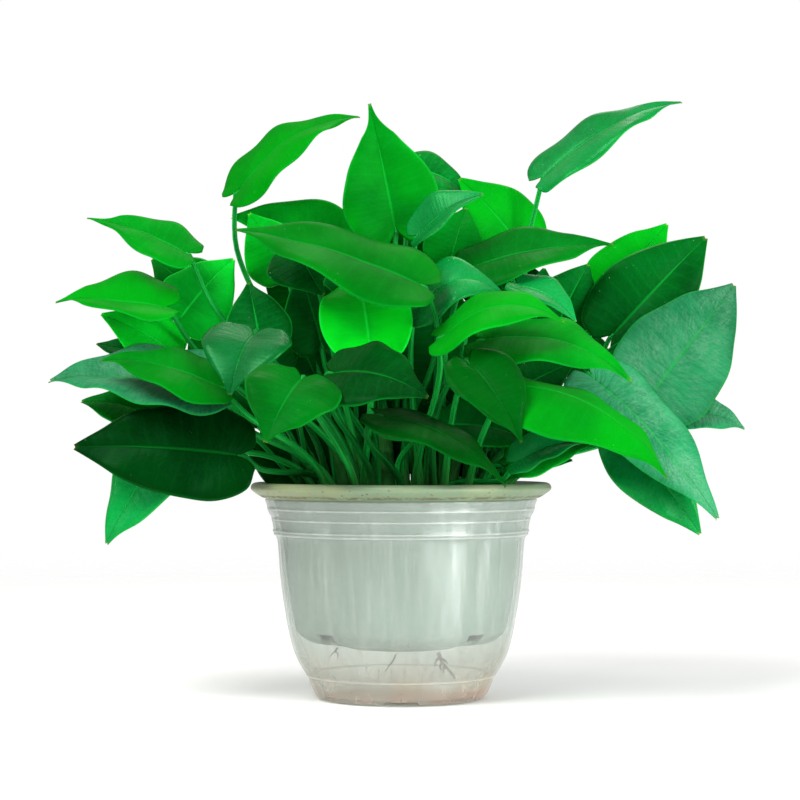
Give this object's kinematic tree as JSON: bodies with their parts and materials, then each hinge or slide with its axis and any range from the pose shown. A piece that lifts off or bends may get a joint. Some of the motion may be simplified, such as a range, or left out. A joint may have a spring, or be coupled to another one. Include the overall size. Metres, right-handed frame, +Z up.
{
  "type": "potted pothos plant",
  "caption": "Leafy pothos houseplant with heart-shaped leaves on long stalks, in a pale liner with a flared rim that hangs in a clear stepped outer pot.",
  "frame": {"origin": "centre of the underside of the outer pot, where it stands", "axes": "+Z up along the axis of the pots; the side seen in front faces -Y"},
  "size_m": [0.4136, 0.2634, 0.363],
  "materials": {
    "outer_pot": "clear, thin moulded plastic, lightly scuffed",
    "liner_pot": "satin pale sage plastic, yellowed and speckled under the rim",
    "soil": "crumbly dark compost",
    "root": "dry brown root",
    "vine": "fleshy green vine with nodes",
    "leaf_bright": "waxy heart-shaped leaf, veined",
    "leaf_fresh": "waxy heart-shaped leaf, veined",
    "leaf_middle": "waxy heart-shaped leaf, veined",
    "leaf_deep": "waxy heart-shaped leaf, veined",
    "leaf_teal": "waxy heart-shaped leaf, veined",
    "leaf_pale": "waxy heart-shaped leaf, veined"
  },
  "bodies": {
    "root": {"outer_pot": "outer_pot", "liner_pot": "liner_pot", "soil": "soil", "root_1": "root", "root_2": "root", "root_3": "root", "stem_1": "vine", "stem_2": "vine", "stem_3": "vine", "stem_4": "vine", "leaf_01": "leaf_bright", "leaf_02": "leaf_fresh", "leaf_03": "leaf_deep", "leaf_04": "leaf_bright", "leaf_05": "leaf_teal", "leaf_06": "leaf_middle", "leaf_07": "leaf_teal", "leaf_08": "leaf_fresh", "leaf_09": "leaf_fresh", "leaf_10": "leaf_deep", "leaf_11": "leaf_fresh", "leaf_12": "leaf_middle", "leaf_13": "leaf_bright", "leaf_14": "leaf_fresh", "leaf_15": "leaf_fresh", "leaf_16": "leaf_pale", "leaf_17": "leaf_deep", "leaf_18": "leaf_teal", "leaf_19": "leaf_deep", "leaf_20": "leaf_teal", "leaf_21": "leaf_middle", "leaf_22": "leaf_middle", "leaf_23": "leaf_bright", "leaf_24": "leaf_deep", "leaf_25": "leaf_middle", "leaf_26": "leaf_teal", "leaf_27": "leaf_bright", "leaf_28": "leaf_middle", "leaf_29": "leaf_deep", "leaf_30": "leaf_teal", "leaf_31": "leaf_fresh", "leaf_32": "leaf_bright", "leaf_33": "leaf_pale", "leaf_34": "leaf_teal", "leaf_35": "leaf_pale", "leaf_36": "leaf_deep", "leaf_37": "leaf_bright", "leaf_38": "leaf_pale", "leaf_39": "leaf_deep", "leaf_40": "leaf_teal", "leaf_41": "leaf_fresh", "leaf_42": "leaf_bright", "leaf_43": "leaf_middle", "leaf_44": "leaf_middle", "leaf_45": "leaf_fresh", "leaf_46": "leaf_bright", "leaf_47": "leaf_fresh", "leaf_48": "leaf_middle", "leaf_49": "leaf_deep", "leaf_50": "leaf_deep"}
  },
  "joints": []
}
